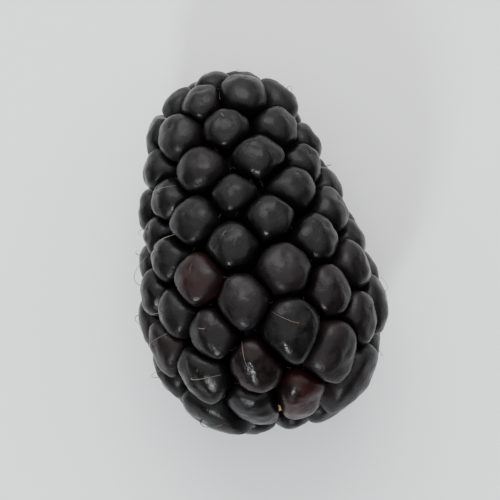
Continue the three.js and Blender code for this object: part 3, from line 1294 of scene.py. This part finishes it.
class BERRY_OT_styles(bpy.types.Operator):
    """Makes the dried styles, whole on some drupelets and broken off short on others"""

    bl_idname = "berry.styles"
    bl_label = "Dried Styles"

    def execute(self, context):
        look = context.scene.bramble_berry.threads
        chance = random.Random(STYLE_SEED)
        # Most of the whole ones are left down one side, off the tip and off the top.
        ranks = {}
        for i, egg in enumerate(eggs):
            azimuth = math.atan2(egg.middle.x, egg.middle.z)
            low, high = SHELTERED_SIDE
            sheltered = low < azimuth < high and egg.middle.y < SHELTERED_REACH
            ranks[i] = chance.random() + (0 if sheltered else SHELTER)
        threads = []
        for rank, i in enumerate(sorted(ranks, key=ranks.get)):
            whole = rank < look.styles
            if not whole and chance.random() < BARE_SHARE:
                continue
            egg = eggs[i]
            root = egg.middle + scar_way(i) * egg.half_axes.z * STYLE_ROOT
            length = look.style_length if whole else STUB_LENGTH * MM
            droop = STYLE_DROOP if whole else STUB_DROOP
            thread = thread_on(egg.place, root, chance, length, look.style_thickness, droop)
            threads.append(thread)
        shades = look.style_colour, look.style_shade
        finish = new_material("Dried style", dry_thread, *shades)
        values = {"Steps": 14, "Sides": 6, "Tip Share": 0.4, "Curl": 0.22, "Finish": finish}
        grow_threads("dried_styles", threads, values)
        return {"FINISHED"}


class BERRY_OT_hairs(bpy.types.Operator):
    """Makes the fine hairs that stand in the grooves between the drupelets"""

    bl_idname = "berry.hairs"
    bl_label = "Fine Hairs"

    def execute(self, context):
        look = context.scene.bramble_berry.threads
        chance = random.Random(HAIR_SEED)
        threads = []
        while len(threads) < look.hairs:
            length = chance.random() ** HAIR_CROWDING * profile.length
            place = Place(profile, Seat(length, chance.uniform(0, 2 * math.pi)))
            reaches = sorted((egg.place.at - place.at).length / egg.size for egg in eggs)
            if reaches[1] - reaches[0] > GROOVE_WIDTH:
                continue
            root = place.at + place.outward * chance.uniform(0, HAIR_STAND)
            thread = thread_on(
                place, root, chance, look.hair_length, look.hair_thickness, HAIR_DROOP
            )
            threads.append(thread)
        shades = look.hair_colour, look.hair_shade
        finish = new_material("Fine hair", dry_thread, *shades)
        values = {"Steps": 5, "Sides": 3, "Tip Share": 0.3, "Curl": 0.2, "Finish": finish}
        grow_threads("fine_hairs", threads, values)
        return {"FINISHED"}


class BERRY_OT_stage(bpy.types.Operator):
    """Makes the floor, the lights and the camera"""

    bl_idname = "berry.stage"
    bl_label = "Stage"

    def execute(self, context):
        look = context.scene.bramble_berry.stage
        objects = context.scene.collection.objects
        mesh = bpy.data.meshes.new("floor")
        near, far = -FLOOR_REACH, FLOOR_REACH
        corners = [(near, near, 0), (far, near, 0), (far, far, 0), (near, far, 0)]
        mesh.from_pydata(corners, [], [(0, 1, 2, 3)])
        mesh.materials.append(new_material("Matt laminate", matt_laminate, look))
        floor = bpy.data.objects.new("floor", mesh)
        objects.link(floor)

        world = bpy.data.worlds.new("Soft room")
        world.use_nodes = True
        background = world.node_tree.nodes["Background"]
        background.inputs["Color"].default_value = SKY_WHITE
        background.inputs["Strength"].default_value = 0.12
        context.scene.world = world

        lamps = (
            ("overhead", (0.06, 0.36, 0.56), 2.3, look.overhead, WARM_WHITE),
            ("lamp", (0.05, 0.5, 0.45), 0.6, look.lamp, WARM_WHITE),
            ("window", (-0.15, -0.27, 0.24), 0.07, look.window, COOL_WHITE),
        )
        for name, place, size, power, colour in lamps:
            light = bpy.data.lights.new(name, "AREA")
            light.shape = "DISK"
            light.size = size
            light.energy = power
            light.color = colour
            lamp = bpy.data.objects.new(name, light)
            lamp.location = place
            lamp.rotation_euler = Vector(place).to_track_quat("Z", "Y").to_euler()
            objects.link(lamp)

        camera = bpy.data.objects.new("camera", bpy.data.cameras.new("camera"))
        camera.data.lens = look.lens
        camera.data.sensor_width = 36
        camera.data.clip_start = 0.01
        camera.location = (0, 0, look.height)
        camera.rotation_euler = (0, 0, look.roll)
        objects.link(camera)
        context.scene.camera = camera
        return {"FINISHED"}


class BERRY_PT_panel(bpy.types.Panel):
    """Lists the berry's pieces and their settings"""

    bl_idname = "BERRY_PT_panel"
    bl_label = "Bramble Berry"
    bl_space_type = "VIEW_3D"
    bl_region_type = "UI"
    bl_category = "Bramble Berry"

    def draw(self, context):
        settings = context.scene.bramble_berry
        for operator, group in PIECES.items():
            box = self.layout.box()
            box.operator(operator)
            if group:
                values = getattr(settings, group)
                for name in values.__annotations__:
                    box.prop(values, name)


# Each operator, and the settings that are listed under it.
PIECES = {
    "berry.drupelets": "skin",
    "berry.flesh": "flesh",
    "berry.receptacle": "pith",
    "berry.styles": "threads",
    "berry.hairs": None,
    "berry.stage": "stage",
}

CLASSES = (
    SkinLook,
    FleshLook,
    PithLook,
    ThreadLook,
    StageLook,
    BerrySettings,
    BERRY_OT_drupelets,
    BERRY_OT_flesh,
    BERRY_OT_receptacle,
    BERRY_OT_styles,
    BERRY_OT_hairs,
    BERRY_OT_stage,
    BERRY_PT_panel,
)


def register():
    """Adds the classes and the settings to Blender."""
    for kind in CLASSES:
        bpy.utils.register_class(kind)
    bpy.types.Scene.bramble_berry = PointerProperty(type=BerrySettings)


def unregister():
    """Takes the settings and the classes out of Blender."""
    del bpy.types.Scene.bramble_berry
    for kind in reversed(CLASSES):
        bpy.utils.unregister_class(kind)


def main():
    """Makes the berry and its stage."""
    register()
    bpy.ops.berry.drupelets()
    bpy.ops.berry.flesh()
    bpy.ops.berry.receptacle()
    bpy.ops.berry.styles()
    bpy.ops.berry.hairs()
    bpy.ops.berry.stage()


if __name__ == "__main__":
    main()
